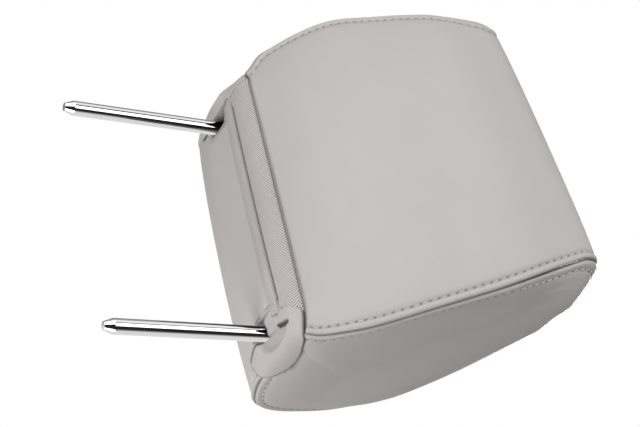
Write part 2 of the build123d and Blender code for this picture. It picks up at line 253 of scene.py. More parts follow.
def gusset_sheet(a, d, side):
    """A gusset with its seam sewn."""
    def surface(u, v):
        return gusset_at(u, v, side)

    p = gusset_at(a, d, side)
    n = normals(surface, a, d, -side)
    under_ear = tucked(ring(a)[2] + d, a)
    lift = lip(d) * (1 - 0.35 * smooth(d, 2, 4)) - 0.5 * needle_holes(a, d)
    lift = lift * (1 - under_ear) - UNDER_EAR * under_ear + wrinkle(a, d, -side)
    ny, nz = ring(a)[3:5]
    return turned_in(p, n, np.stack([np.zeros_like(ny), ny, nz], -1), lift, d)


# ------------------------------------------------------------------ materials
class NodeTree:
    """A few shorthands for making and joining shader nodes."""

    def __init__(self, tree):
        self.nodes = tree.nodes
        self.links = tree.links

    def node(self, kind, **inputs):
        made = self.nodes.new(kind)
        for name, value in inputs.items():
            self.put(made.inputs[name.replace("_", " ")], value)
        return made

    def put(self, socket, value):
        if isinstance(value, bpy.types.NodeSocket):
            self.links.new(value, socket)
        else:
            socket.default_value = value

    def feed(self, made, *values):
        """Fills a node's inputs in their order and gives its first output."""
        for socket, value in zip(made.inputs, values):
            self.put(socket, value)
        return made.outputs[0]

    def math(self, kind, *values):
        made = self.nodes.new("ShaderNodeMath")
        made.operation = kind
        return self.feed(made, *values)

    def span(self, value, low, high, to_low, to_high, clamp=True):
        made = self.nodes.new("ShaderNodeMapRange")
        made.clamp = clamp
        return self.feed(made, value, low, high, to_low, to_high)


class Finish(NodeTree):
    """A procedural material."""

    def __init__(self, name, color, roughness, metallic=0.0):
        self.material = bpy.data.materials.new(name)
        self.material.use_nodes = True
        super().__init__(self.material.node_tree)
        self.shader = self.nodes["Principled BSDF"]
        self.shader.inputs["Base Color"].default_value = (*color, 1)
        self.shader.inputs["Roughness"].default_value = roughness
        self.shader.inputs["Metallic"].default_value = metallic
        self.place = self.node("ShaderNodeTexCoord").outputs["Object"]

    def noise(self, scale, detail=2.0):
        made = self.node("ShaderNodeTexNoise", Scale=scale, Detail=detail, Vector=self.place)
        return made.outputs["Fac"]

    def cells(self, scale):
        return self.node("ShaderNodeTexVoronoi", Scale=scale, Vector=self.place).outputs["Distance"]

    def wave(self, across, along, offset=0.0):
        """A sine wave over the cloth, with across and along in cycles a millimetre."""
        x = self.math("MULTIPLY", self.attribute("across"), across * 2 * math.pi)
        y = self.math("MULTIPLY", self.attribute("along"), along * 2 * math.pi)
        return self.math("SINE", self.math("ADD", self.math("ADD", x, y), offset))

    def mix(self, factor, one, other):
        """A mix of two colours, which are the node's inputs 6 and 7; its output 2 is a colour too."""
        made = self.nodes.new("ShaderNodeMix")
        made.data_type = "RGBA"
        self.put(made.inputs[0], factor)
        for socket, color in ((made.inputs[6], one), (made.inputs[7], other)):
            self.put(socket, color if isinstance(color, bpy.types.NodeSocket) else (*color, 1))
        return made.outputs[2]

    def attribute(self, name):
        made = self.nodes.new("ShaderNodeAttribute")
        made.attribute_name = name
        return made.outputs["Fac"]

    def paint(self, color):
        self.links.new(color, self.shader.inputs["Base Color"])

    def bump(self, height, depth, strength=1.0):
        made = self.node("ShaderNodeBump", Height=height, Distance=depth * MM, Strength=strength)
        self.links.new(made.outputs[0], self.shader.inputs["Normal"])

    def rough(self, value):
        self.links.new(value, self.shader.inputs["Roughness"])


def tone(color, factor):
    """A lighter or darker tone of a colour."""
    return tuple(c * factor for c in color)


LEATHER = (0.560, 0.530, 0.520)
TAPE = (0.540, 0.500, 0.490)
# the colour of painted shade, mixed in by the meshes' shade attribute
SHADE_DARK = (0.035, 0.032, 0.031)


def leather_finish(name, color):
    """Smooth leather: a faint mottle, a fine grain, and painted shade as the shade attribute asks."""
    f = Finish(name, color, 0.5)
    mottle = f.noise(28.0, 3.0)
    base = f.mix(mottle, tone(color, 0.97), tone(color, 1.03))
    grain = f.cells(1500.0)
    fine = f.noise(2600.0, 2.0)
    base = f.mix(f.span(grain, 0.0, 0.6, 0.0, 0.10), base, tone(color, 0.8))
    f.paint(f.mix(f.attribute("shade"), base, SHADE_DARK))
    f.rough(f.span(f.noise(60.0, 3.0), 0.3, 0.7, 0.44, 0.54))
    f.bump(f.math("ADD", f.math("MULTIPLY", grain, -1.0), f.math("MULTIPLY", fine, 0.5)), 0.05, 0.5)
    return f.material


def woven_finish(name, color, thread, depth, contrast):
    """A fine slanted weave: two families of threads that pass over each other by turns.

    thread is how many threads there are to a millimetre, more or less, and depth is in millimetres.
    """
    f = Finish(name, color, 0.85)
    one = f.wave(0.70 * thread, 0.29 * thread)
    two = f.wave(0.58 * thread, 0.62 * thread, 1.3)
    weave = f.math("ADD", one, two)
    fuzz = f.noise(1800.0, 2.0)
    light = f.span(f.math("ADD", weave, f.math("MULTIPLY", fuzz, 0.8)), -1.4, 2.2, 0.0, 1.0)
    base = f.mix(light, tone(color, 1 - contrast), tone(color, 1 + contrast))
    worn = f.mix(light, tone(color, 0.94 - contrast), tone(color, 0.94 + contrast))
    base = f.mix(f.noise(90.0, 2.0), base, worn)
    # painted shade, as much as the mesh's shade attribute asks for
    f.paint(f.mix(f.attribute("shade"), base, SHADE_DARK))
    f.bump(weave, depth, 0.7)
    f.shader.inputs["Sheen Weight"].default_value = 0.15
    return f.material


def plastic_finish(name, color, roughness=0.5):
    f = Finish(name, color, roughness)
    f.paint(f.mix(f.noise(200.0, 3.0), tone(color, 0.9), tone(color, 1.1)))
    f.rough(f.span(f.noise(400.0, 2.0), 0.3, 0.7, roughness - 0.06, roughness + 0.06))
    f.bump(f.noise(900.0, 3.0), 0.03, 0.4)
    return f.material


def metal_finish(name, color, roughness, depth=0.004):
    f = Finish(name, color, roughness, 1.0)
    f.rough(f.span(f.noise(150.0, 4.0), 0.3, 0.7, roughness * 0.8, roughness * 1.3))
    f.bump(f.noise(2500.0, 2.0), depth, 0.3)
    return f.material


def foam_finish(name, color):
    f = Finish(name, color, 0.95)
    pores = f.cells(900.0)
    f.paint(f.mix(f.span(pores, 0.0, 0.6, 0.0, 1.0), tone(color, 0.7), tone(color, 1.1)))
    f.bump(pores, 0.25, 0.8)
    return f.material


def thread_finish(name, color):
    f = Finish(name, color, 0.6)
    f.paint(f.mix(f.noise(3000.0, 2.0), tone(color, 0.8), tone(color, 1.15)))
    f.bump(f.noise(5000.0, 2.0), 0.05, 0.6)
    return f.material


leather = leather_finish("leather", LEATHER)
tape_cloth = woven_finish("tape_cloth", TAPE, thread=0.95, depth=0.12, contrast=0.55)
ear_cloth = woven_finish("ear_cloth", tone(TAPE, 1.05), thread=1.5, depth=0.012, contrast=0.07)
mesh_cloth = woven_finish("mesh_cloth", tone(TAPE, 0.95), thread=1.1, depth=0.12, contrast=0.3)
thread = thread_finish("thread", (0.62, 0.60, 0.58))
# thread dark as painted shade of the stitch holes at the tape's ends
stitch_hole_shade_thread = thread_finish("stitch_hole_shade_thread", (0.10, 0.09, 0.085))
foam = foam_finish("foam", (0.62, 0.55, 0.30))
CAD_FINISHES = {
    "post_rod": metal_finish("chrome", (0.86, 0.86, 0.87), 0.05),
    "stop_lug": metal_finish("welded_steel", (0.42, 0.41, 0.40), 0.35, 0.02),
    "core_front_shell": plastic_finish("core_plastic", (0.03, 0.03, 0.032)),
    "core_rear_shell": plastic_finish("core_plastic_rear", (0.028, 0.028, 0.03)),
    "core_screws": metal_finish("screw_steel", (0.55, 0.55, 0.53), 0.3),
    "clip_screws": metal_finish("clip_screw_steel", (0.55, 0.55, 0.53), 0.3),
    "pivot_bush_left": plastic_finish("bush_plastic", (0.72, 0.71, 0.66), 0.35),
    "friction_clip_left": metal_finish("spring_steel", (0.32, 0.33, 0.36), 0.25, 0.01),
    "stop_buffer_front": plastic_finish("buffer_rubber", (0.02, 0.02, 0.02), 0.8),
    "closing_hook_front": plastic_finish("hook_plastic", (0.06, 0.06, 0.065), 0.4),
    "slot_liner_left": plastic_finish("liner_plastic", (0.03, 0.03, 0.03), 0.6),
}
for name, twin in (
    ("pivot_bush_right", "pivot_bush_left"), ("friction_clip_right", "friction_clip_left"),
    ("stop_buffer_rear", "stop_buffer_front"), ("closing_hook_rear", "closing_hook_front"),
    ("slot_liner_right", "slot_liner_left"),
):
    CAD_FINISHES[name] = CAD_FINISHES[twin]
for name, finish in CAD_FINISHES.items():
    NODES[name].data.materials.clear()
    NODES[name].data.materials.append(finish)


# ------------------------------------------------------------------ meshes
def add_object(name, data):
    made = bpy.data.objects.new(name, data)
    bpy.context.scene.collection.objects.link(made)
    return made


def apply_modifiers(made):
    applied = bpy.data.meshes.new_from_object(made.evaluated_get(bpy.context.evaluated_depsgraph_get()))
    made.modifiers.clear()
    made.data = applied
    applied.name = made.name


def add_mesh(name, points, faces, material, shade=None, solid=0.0, cloth=None):
    """A smooth-shaded mesh from points in millimetres.

    shade is painted shade that darkens it point by point, solid is a sheet's thickness, added inwards, and
    cloth is the pair (across, along) of millimetre coordinates that a weave follows.
    """
    mesh = bpy.data.meshes.new(name)
    mesh.from_pydata([tuple(p) for p in np.asarray(points).reshape(-1, 3) * MM], [], faces)
    mesh.polygons.foreach_set("use_smooth", [True] * len(mesh.polygons))
    mesh.materials.append(material)
    values = {} if shade is None else {"shade": shade}
    if cloth is not None:
        values.update(zip(("across", "along"), cloth))
    for key, value in values.items():
        field = np.ascontiguousarray(value, np.float32).ravel()
        mesh.attributes.new(key, "FLOAT", "POINT").data.foreach_set("value", field)
    shape = bmesh.new()
    shape.from_mesh(mesh)
    bmesh.ops.delete(shape, geom=[v for v in shape.verts if not v.link_faces], context="VERTS")
    shape.to_mesh(mesh)
    shape.free()
    made = add_object(name, mesh)
    if solid:
        thicken(made, solid)
    return made


def thicken(made, thickness):
    """Gives a sheet its thickness, added inwards, in millimetres."""
    thick = made.modifiers.new("thickness", "SOLIDIFY")
    thick.thickness = thickness * MM
    thick.offset = -1
    apply_modifiers(made)


def grid_faces(rows, columns, flip=False, keep=None):
    """Quads of a rows x columns grid; keep(i, j) says which stay."""
    faces = []
    for i in range(rows - 1):
        for j in range(columns - 1):
            if keep is None or keep(i, j):
                k = i * columns + j
                quad = (k, k + columns, k + columns + 1, k + 1)
                faces.append(quad[::-1] if flip else quad)
    return faces


def stations(start, end, finest):
    """Arc positions from start to end, a row apart, finer near the places given."""
    marks = [k * ROW for k in range(math.ceil(start / ROW), math.floor(end / ROW) + 1)]
    for place in finest:
        marks += [place + sign * e for e in (0, 0.3, 0.8, 1.6, 2.6, 3.8) for sign in (-1, 1)]
    marks = sorted(m for m in set(marks) | {start, end} if start <= m <= end)
    return np.array([m for k, m in enumerate(marks) if k == 0 or m - marks[k - 1] > 0.12])


def band_grid(arcs):
    """(a, s) arrays of the band between its seams, closest together beside them."""
    w = ring(arcs)[2]
    near = np.array(SEAM_COLUMNS, float)
    left = -1 + near[None, :] / w[:, None]
    inner = left[:, -1:]
    middle = inner * (1 - np.arange(1, 10) / 5.0)[None, :]
    s = np.concatenate([left, middle, -left[:, ::-1]], 1)
    return np.broadcast_to(arcs[:, None], s.shape).copy(), s


# ------------------------------------------------------------------ leather panels
SIDES = ((1, "right"), (-1, "left"))
LEATHER_THICKNESS = 1.2
SLOT_X, SLOT_FRONT_Y, SLOT_REAR_Y, SLOT_R = 85.0, -21.2, 0.0, 6.8
SLOT_FRONT_A, SLOT_REAR_A = -20.8, -42.0   # the same two ends as arc positions
EAR_CENTRE = np.array([SLOT_X, CLOSING_A - 19.4])       # the slot's middle on the unrolled corner


def dress(piece, nodes=()):
    """Makes a piece of the cushion ride on it, and hides the CAD nodes it stands for."""
    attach(piece, "cushion")
    if nodes:
        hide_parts(*nodes)
    piece.visible_glossy = False             # keeps the posts' reflections clean down to the slots
    return piece


# The ear's outline on the unrolled corner: distance from the middle plane, then arc position.
EAR_OUTLINE = [
    (76, -46), (75.5, -38), (75.5, -26), (77, -18), (79, -13), (82, -9), (85, -6.5), (87.5, -2.5), (90, 1),
    (93, 3.4), (96.5, 3.5), (100, 3), (106.5, 1.5), (112, -0.5), (113.8, -3.5), (115, -10), (116, -17),
    (116.5, -23.5), (116, -29.5), (115.5, -36), (114.5, -40.5), (112.5, -47), (110.5, -51.5), (106.5, -56),
    (100, -60), (94, -64), (90.5, -63.5), (89.5, -58), (88.8, -53.5), (84, -52.5), (79, -50.5),
]


def outline_reach(angles, outline, centre):
    """The distance from the centre to a star-shaped outline in each direction."""
    corners = np.array(outline, float)
    steps = np.linspace(0, 1, 12, endpoint=False)[:, None]
    pts = np.concatenate([p + (q - p) * steps for p, q in zip(corners, np.roll(corners, -1, 0))]) - centre
    where, far = np.arctan2(pts[:, 1], pts[:, 0]), np.hypot(pts[:, 0], pts[:, 1])
    order = np.argsort(where)
    return np.interp(angles, where[order], far[order], period=2 * np.pi)


def slot_reach(angles, radius):
    """The distance from a slot's middle to its outline in each direction."""
    half = (SLOT_REAR_Y - SLOT_FRONT_Y) / 2
    c, s = np.abs(np.cos(angles)), np.abs(np.sin(angles))
    flat = radius / np.maximum(c, 1e-9)
    ended = s * half + np.sqrt(np.maximum(radius**2 - (half * c) ** 2, 0))
    return np.where(flat * s <= half, flat, ended)


def front_edge(x):
    """The arc position of the front panel's lower edge, which dips towards the corners."""
    return np.interp(np.abs(x), [0, 84, 92, 100, 106.5, 112], [GAP_A, GAP_A, 4.0, 3.0, 1.4, -0.6])


def outside_ears(u, a):
    """How far a point of the unrolled corner is outside the ear's hem; negative inside."""
    away = np.stack([np.abs(u), a], -1) - EAR_CENTRE
    reach = outline_reach(np.arctan2(away[..., 1], away[..., 0]), EAR_OUTLINE, EAR_CENTRE)
    return np.hypot(away[..., 0], away[..., 1]) - reach


LOBE_EDGE = [                              # where the ear's raised outer part ends and its recess begins
    (96.5, -6.5), (98.5, -8.5), (100.5, -11.5), (102, -16.5), (103, -25), (102.5, -33), (99, -41),
    (93, -48),
]
SLIT = [(93, -19), (96.5, -6.5)]           # the dark fold at the recess's front
REAR_SLIT = [(89.6, -47), (90.3, -51), (91.2, -56), (92.8, -61.5)]       # and the one behind the post


def recess(u, a):
    """How far the ear is sunk beside its slot, from 0 to 1: a shallow bowl inside the lobe's edge."""
    edge_u = np.interp(a, [p[1] for p in LOBE_EDGE[::-1]], [p[0] for p in LOBE_EDGE[::-1]])
    (u0, a0), (u1, a1) = SLIT
    reach = math.hypot(u1 - u0, a1 - a0)
    past_slit = ((u - u0) * (a1 - a0) - (a - a0) * (u1 - u0)) / reach
    bowl = smooth(edge_u - u, 0, 2.6 + 4.0 * smooth(-a, 26, 44))
    bowl = bowl * smooth(u, 88, 91) * smooth(a, -47, -36) * (1 - smooth(a, -8.5, -6.0))
    return bowl * np.maximum(smooth(past_slit, -0.3, 1.2), 1 - smooth(a, -25, -19))


def opened(u, a):
    """Where the leather is cut away under an ear: round its slot and under its recess."""
    from_slot = np.hypot(np.abs(u) - SLOT_X, a - np.clip(a, SLOT_REAR_A, SLOT_FRONT_A)) - SLOT_R
    return (from_slot < 1.4) | ((recess(np.abs(u), a) > 0.02) & (outside_ears(u, a) < -2))


def hem_shade(u, a):
    """Painted shade on the leather just outside an ear's hem, where the ear's edge stands over it."""
    strength = 0.7 * (1 - 0.7 * smooth(-a, 38, 54) * smooth(np.abs(u), 95, 104)) * smooth(np.abs(u), 86, 90)
    return strength * np.exp(-((np.maximum(outside_ears(u, a), 0) / 0.9) ** 2))


def band_panel(name, start, end, edges, nodes):
    """A leather panel of the band between two arc positions."""
    a, s = band_grid(stations(start, end, [e for e, _ in edges]))
    x = s * ring(a)[2]
    if start == GAP_A:
        a = a - (GAP_A - front_edge(x)) * (1 - smooth(a, GAP_A, GAP_A + 14))
        s = np.clip(x / ring(a)[2], -1, 1)
        s[:, 0], s[:, -1] = -1, 1
    edges = [(front_edge(x) if edge == GAP_A else edge, radius) for edge, radius in edges]
    p = band_sheet(a, s, edges)
    w = ring(a)[2]
    shade = np.maximum(seam_shade(a, w * (1 - np.abs(s))), hem_shade(s * w, wrapped(a)))
    # painted shade in the gap along each edge where the panel is turned in
    for edge, _ in edges:
        shade = np.maximum(shade, 0.6 * np.exp(-((np.abs(a - edge) / 0.6) ** 2)))
    clear = ~opened(s * w, wrapped(a))
    keep = clear[:-1, :-1] & clear[1:, :-1] & clear[:-1, 1:] & clear[1:, 1:]
    faces = grid_faces(*a.shape, flip=True, keep=lambda i, j: keep[i, j])
    made = add_mesh(name, p, faces, leather, shade, solid=LEATHER_THICKNESS)
    dress(made, nodes=nodes)


FRONT_EDGES = [(GAP_A, 3.2), (TOP_SEAM_A, 2.0)]         # where the front panel is turned in, and how round
band_panel("leather_front", GAP_A, TOP_SEAM_A, FRONT_EDGES, ["cover_front_panel"])
band_panel("leather_rear", TOP_SEAM_A, LOOP_LENGTH + TAPE_END_A + 3, FRONT_EDGES[1:], ["cover_rear_panel"])


CORE_POINTS = 36                           # how many steps the core line is divided into
NEAR_D = 21                                # columns follow the seam this far, and from there the core


def weld_core(made, side):
    """Joins the side panel's last points along its core line, so that its shading runs across."""
    shape = bmesh.new()
    shape.from_mesh(made.data)
    start, end = (Vector(settled(np.array([side * GUSSET_CORE_X, *p])) * MM) for p in GUSSET_CORE)
    span = end - start

    def share(v):
        return min(max((v.co - start).dot(span) / span.dot(span), 0.0), 1.0)

    def within(distance):
        """The points within a distance of the core line, in metres."""
        return [v for v in shape.verts if (v.co - start - span * share(v)).length < distance]

    on_core = within(0.0006)
    for v in on_core:
        v.co.yz = (start + span * (round(share(v) * CORE_POINTS) / CORE_POINTS)).yz
    bmesh.ops.remove_doubles(shape, verts=on_core, dist=0.0007)
    bmesh.ops.remove_doubles(shape, verts=shape.verts, dist=0.00001)
    near = within(0.03)
    only_x = {"use_axis_x": True, "use_axis_y": False, "use_axis_z": False}
    for _ in range(12):
        bmesh.ops.smooth_vert(shape, verts=near, factor=0.5, **only_x)
    shape.to_mesh(made.data)
    shape.free()


def side_panel(name, side, node):
    """A side's leather, from its seam to its core line all round."""
    arcs = np.arange(STITCHES * ROWS_PER_STITCH) * ROW
    near = np.array([d for d in SEAM_COLUMNS if d <= NEAR_D])
    far = np.array([0.12, 0.26, 0.4, 0.54, 0.67, 0.79, 0.88, 0.95, 1.0])
    beyond = NEAR_D + (core_distance(arcs)[:, None] - NEAR_D) * far[None, :]
    d = np.concatenate([np.broadcast_to(near, (len(arcs), len(near))), beyond], 1)
    a = np.broadcast_to(arcs[:, None], d.shape).copy()
    p = gusset_sheet(a, d, side)
    shade = np.maximum(seam_shade(a, d), hem_shade(ring(a)[2] + d, wrapped(a)))
    closed = [np.concatenate([g, g[:1]]) for g in (p, shade)]
    faces = grid_faces(len(arcs) + 1, d.shape[1], flip=side > 0)
    made = add_mesh(name, closed[0], faces, leather, closed[1])
    weld_core(made, side)
    thicken(made, LEATHER_THICKNESS)
    dress(made, nodes=[node])


for side, word in SIDES:
    side_panel(f"leather_side_{word}", side, f"cover_side_{word}")


# ------------------------------------------------------------------ foam
FOAM_INSET = 4.5                           # how deep the foam lies under the plain surface
FOAM_VOXEL = 0.0035                        # in metres


def foam_pad(name, node, skin):
    """The foam as the CAD has it, remeshed and drawn in to lie just under the leather."""
    made = add_object(name, NODES[node].data.copy())
    remesh = made.modifiers.new("remesh", "REMESH")
    remesh.mode = "VOXEL"
    remesh.voxel_size = FOAM_VOXEL
    apply_modifiers(made)
    mesh = made.data
    co = np.zeros(len(mesh.vertices) * 3)
    mesh.vertices.foreach_get("co", co)
    co = co.reshape(-1, 3)
    for k, point in enumerate(co):
        near, normal, _, _ = skin.find_nearest(Vector(point))
        depth = (near - Vector(point)).dot(normal)
        if depth < FOAM_INSET * MM:
            co[k] = near - normal * (FOAM_INSET * MM)
    mesh.vertices.foreach_set("co", co.ravel())
    mesh.materials.clear()
    mesh.materials.append(foam)
    mesh.polygons.foreach_set("use_smooth", [True] * len(mesh.polygons))
    mesh.update()
    dress(made, nodes=[node])


def cushion_skin():
    """The cushion's plain surface, as a tree that gives the point nearest to another."""
    points, faces = [], []

    def add(grid, flip):
        count = sum(len(p) for p in points)
        closed = np.concatenate([grid, grid[:1]])
        points.append(closed.reshape(-1, 3) * MM)
        faces.extend(tuple(k + count for k in quad) for quad in grid_faces(*closed.shape[:2], flip=flip))

    arcs = np.linspace(0, LOOP_LENGTH, 160, endpoint=False)
    a, s = np.meshgrid(arcs, np.linspace(-1, 1, 33), indexing="ij")
    add(band_at(a, s), True)
    a, share_in = np.meshgrid(arcs, np.linspace(0, 1, 12), indexing="ij")
    for side, _ in SIDES:
        add(gusset_at(a, share_in * core_distance(a), side), side > 0)
    return BVHTree.FromPolygons([tuple(v) for v in np.concatenate(points)], faces)


cushion = cushion_skin()
foam_pad("foam_front", "foam_front_pad", cushion)
foam_pad("foam_rear", "foam_rear_pad", cushion)


# ------------------------------------------------------------------ closing tapes
TAPE_PROUD = 1.25                          # how far the tapes stand out of the plain surface
FOLD_RADIUS = 3.4                          # the roundness of the folds where the two tapes meet
FOLD_ROWS = np.array([0, 0.2, 0.5, 0.9, 1.5, 2.2, 3.0, 4.0])


def tape_reach(a):
    """The half length of the front tape, cut on a slant where the ears begin."""
    return np.interp(a, [-12, -10.5, -4, 0, 2.5, 4.3], [86, 87.5, 90, 93, 95, 96.2])


def closing_shade(a):
    """Painted shade in the fold where the tapes meet."""
    return 0.55 * np.exp(-(((a - CLOSING_A) / 1.1) ** 2))


def tape_point(a, x, proud):
    """Points of the underside, raised by proud, at arc positions a and distances x from the middle."""
    s = x / ring(a)[2]
    n = normals(band_at, a, s, -1)
    return band_at(a, s) + n * proud[..., None]


def front_tape():
    """The broad ribbed tape, sewn to the front panel and turned in at the closing line."""
    arcs = np.unique(np.concatenate([
        CLOSING_A + FOLD_ROWS, np.arange(CLOSING_A + 5, GAP_A - 2, 1.0),
        GAP_A - np.array([2.0, 1.4, 0.9, 0.5, 0.2, 0.0]), GAP_A + np.array([0.6, 1.4, 2.4]),
    ]))
    across = np.linspace(-1, 1, 181)
    ends = np.array([0.9925, 0.996, 0.9985])
    across = np.unique(np.concatenate([across, ends, -ends]))
    a, f = np.meshgrid(arcs, across, indexing="ij")
    x = f * tape_reach(a)
    from_end = tape_reach(a) - np.abs(x)
    proud = TAPE_PROUD + 0.5 * np.sin(np.pi * (a - CLOSING_A) / (GAP_A - CLOSING_A))
    proud = proud - rolled(a - CLOSING_A, FOLD_RADIUS) * 0.9 - rolled(GAP_A - a, 1.8)
    proud = proud - rolled(from_end, 1.3) * 0.6
    proud = proud - 0.9 * np.maximum(a - GAP_A, 0)          # on into the seam, behind the front panel
    p = tape_point(a, x, proud)
    # painted shade: in the closing fold, in the gap under the front panel's edge, and where the tape's ends
    # turn under
    shade = closing_shade(a) + 0.75 * np.exp(-(((a - GAP_A) / 0.5) ** 2))
    shade = np.maximum(shade, 0.5 * np.exp(-((from_end / 0.4) ** 2)))
    faces = grid_faces(*a.shape, flip=True)
    made = add_mesh("woven_tape_front", p, faces, tape_cloth, shade, solid=0.7, cloth=(x, a))
    dress(made, nodes=["closing_tape_front"])


def beside_slot(a):
    """How far the rear tape runs to each side before it meets a slot's round front end."""
    places = [TAPE_END_A, SLOT_FRONT_A, -17, -14.6, -13.4, CLOSING_A]
    return np.interp(a, places, [77.8, 77.8, 79.0, 81.0, 83.5, 86.5])


def over_slot(a):
    """And how far its soft ends go on over the slot."""
    return np.interp(a, [TAPE_END_A, CLOSING_A], [84.0, 88.5])


def rear_tape(name, start, end, columns, nodes=()):
    """A length of the rear tape between two lines given as x over arc position."""
    arcs = np.unique(np.concatenate([
        np.array([TAPE_END_A, TAPE_END_A + 0.5]), np.arange(TAPE_END_A + 1, CLOSING_A - 4, 1.0),
        CLOSING_A - FOLD_ROWS,
    ]))
    a, f = np.meshgrid(arcs, np.linspace(0, 1, columns), indexing="ij")
    x = start(a) + f * (end(a) - start(a))
    proud = TAPE_PROUD * smooth(a, TAPE_END_A, TAPE_END_A + 6) + 0.12
    proud = proud - rolled(CLOSING_A - a, FOLD_RADIUS) * 0.9
    p = tape_point(a, x, proud)
    faces = grid_faces(*a.shape, flip=x[0, -1] > x[0, 0])
    made = add_mesh(name, p, faces, tape_cloth, closing_shade(a), solid=0.5, cloth=(x, a))
    return dress(made, nodes=nodes)


front_tape()
rear_tape("woven_tape_rear", lambda a: -beside_slot(a), beside_slot, 161, ["closing_tape_rear"])
for side, word in SIDES:
    flap = rear_tape(
        f"tape_end_{word}", lambda a: side * beside_slot(a), lambda a: side * over_slot(a), 13
    )
    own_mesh(flap)


# ------------------------------------------------------------------ corner ears
EAR_TURNS = 256                            # points round an ear
EAR_LINING = np.array([13.0, 10.5, 8.2, 6.2, 4.5, 3.2, 2.1, 1.2, 0.5])       # heights up into the slot
EAR_RIM = np.array([0, 0.3, 0.7, 1.3, 2.0])             # distances from the slot
EAR_HEM = np.array([3.4, 2.4, 1.6, 1.0, 0.5, 0.2, 0.0])              # distances from the outer edge


def corner_sheet(a, u, side):
    """The cushion's corner as one sheet: u runs from the middle plane over the seam and up the side."""
    total, weights = 0.0, 0.0
    w = ring(a)[2]
    for shift in np.linspace(-8, 8, 9):
        v = u + shift
        flat = band_at(a, np.minimum(v / w, 1.0) * side)
        up = gusset_at(a, np.maximum(v - w, 0.0), side)
        weight = math.exp(-((shift / 4.5) ** 2))
        total = total + weight * np.where((v > w)[..., None], up, flat)
        weights += weight
    return total / weights


def distance_to(points, line):
    """Distance from points (..., 2) to a polyline."""
    best = np.full(points.shape[:-1], 1e9)
    line = np.array(line, float)
    for start, end in zip(line, line[1:]):
        d = end - start
        t = np.clip(((points - start) @ d) / (d @ d), 0, 1)
        best = np.minimum(best, np.linalg.norm(points - start - t[..., None] * d, axis=-1))
    return best


def ridge(distance, width, height=1.0):
    """A smooth ridge of the height and about the width given, over a distance from its middle."""
    return height * np.exp(-((distance / width) ** 2))


def ear(name, side, node, depth):
    """A corner ear: its hem lies on the leather, and its inner edge turns up into the slot as a lining."""
    angles = np.linspace(-np.pi, np.pi, EAR_TURNS + 1)
    inner = slot_reach(angles, SLOT_R)
    outer = outline_reach(angles, EAR_OUTLINE, EAR_CENTRE)
    between = outer - inner - (EAR_RIM[-1] + EAR_HEM[0])
    middle = np.linspace(0, 1, 26)[1:-1]
    radial = np.concatenate([
        inner[:, None] - 0.5 - 0.03 * EAR_LINING, inner[:, None] + EAR_RIM,
        inner[:, None] + EAR_RIM[-1] + between[:, None] * middle, outer[:, None] - EAR_HEM,
    ], 1)
    radial = np.maximum.accumulate(radial, axis=1)
    u = EAR_CENTRE[0] + np.cos(angles)[:, None] * radial
    a = EAR_CENTRE[1] + np.sin(angles)[:, None] * radial
    from_rim, from_hem = radial - inner[:, None], outer[:, None] - radial
    up = np.zeros(radial.shape)
    up[:, :len(EAR_LINING)] = EAR_LINING
    here = np.stack([u, a], -1)
    to_lobe, to_slit, to_rear = (distance_to(here, line) for line in (LOBE_EDGE, SLIT, REAR_SLIT))
    sunk = recess(u, a)
    outboard = smooth(u, 82, 90)
    creased = side > 0                       # only the right ear has the fold behind its post

    lobe = ridge(to_lobe, 9.0) * (1 - smooth(sunk, 0.0, 0.3)) * smooth(from_hem, 0.5, 5)
    lift = 0.15 + 0.95 * outboard + 1.2 * lobe * outboard - depth * sunk
    lift = lift - 2.3 * ridge(to_slit, 0.85) - 1.5 * (ridge(to_rear, 0.9) * creased)
    lift = lift - rolled(np.maximum(from_rim, 0), 1.2) - rolled(from_hem, 1.6) * 0.8 * outboard
    n = normals(lambda p, q: corner_sheet(p, q, side), a, u, -side, step=0.4)
    p = corner_sheet(a, u, side) + n * lift[..., None]
    p[..., 2] += up

    # painted shade: a dark line along the outer hem, the two slits, the rim into the slot, and the lining
    # deeper in the slot
    hem = ridge(from_hem, 1.0, 0.95) * (outboard * (1 - 0.75 * smooth(-a, 46, 58) * smooth(u, 92, 100)))
    slit_shade = ridge(to_slit, 0.8, 1.2 + 0.6 * side) + ridge(to_rear, 1.0, 1.3) * creased
    shade = np.maximum(hem, np.clip(slit_shade, 0, 0.97))
    shade = np.maximum(shade, ridge(from_rim, 0.6, 0.35))
    shade = np.maximum(shade, 0.8 * smooth(up, 0.5, 9))
    faces = grid_faces(*u.shape, flip=side > 0)
    made = add_mesh(name, p, faces, ear_cloth, shade, solid=0.6, cloth=(u, a))

    # the lining and the right ear's recess are of mesh, and the parts inside and behind the slot of leather
    made.data.materials.append(mesh_cloth)
    made.data.materials.append(leather)
    meshy = (sunk > 0.45) & creased | (up > 0.4)
    rear_edge = np.interp(-a, [-p[1] for p in REAR_SLIT], [p[0] for p in REAR_SLIT])
    plain = (u < 80.5) | (a < REAR_SLIT[0][1]) & (u < rear_edge)
    kinds = np.zeros(len(made.data.polygons), np.int32)
    kinds[:len(faces)] = np.where(meshy, 1, np.where(plain, 2, 0))[:-1, :-1].ravel()
    made.data.polygons.foreach_set("material_index", kinds)
    dress(made, nodes=[node])


ear("ear_right", 1, "corner_ear_right", 2.4)
ear("ear_left", -1, "corner_ear_left", 1.0)


# ------------------------------------------------------------------ inside the slots
UNDER_ARCS = np.linspace(-70, 4, 200)
POST_FRONT_Y = -5.0                        # the posts' front, with the cushion at rest
GAITER_GAP = 0.8                           # between the slot's cloth and its post


def underside(x, y):
    """The plain underside at points given by x and y."""
    a = np.interp(-y, -ring(UNDER_ARCS)[0], UNDER_ARCS)
    return band_at(a, x / ring(a)[2])


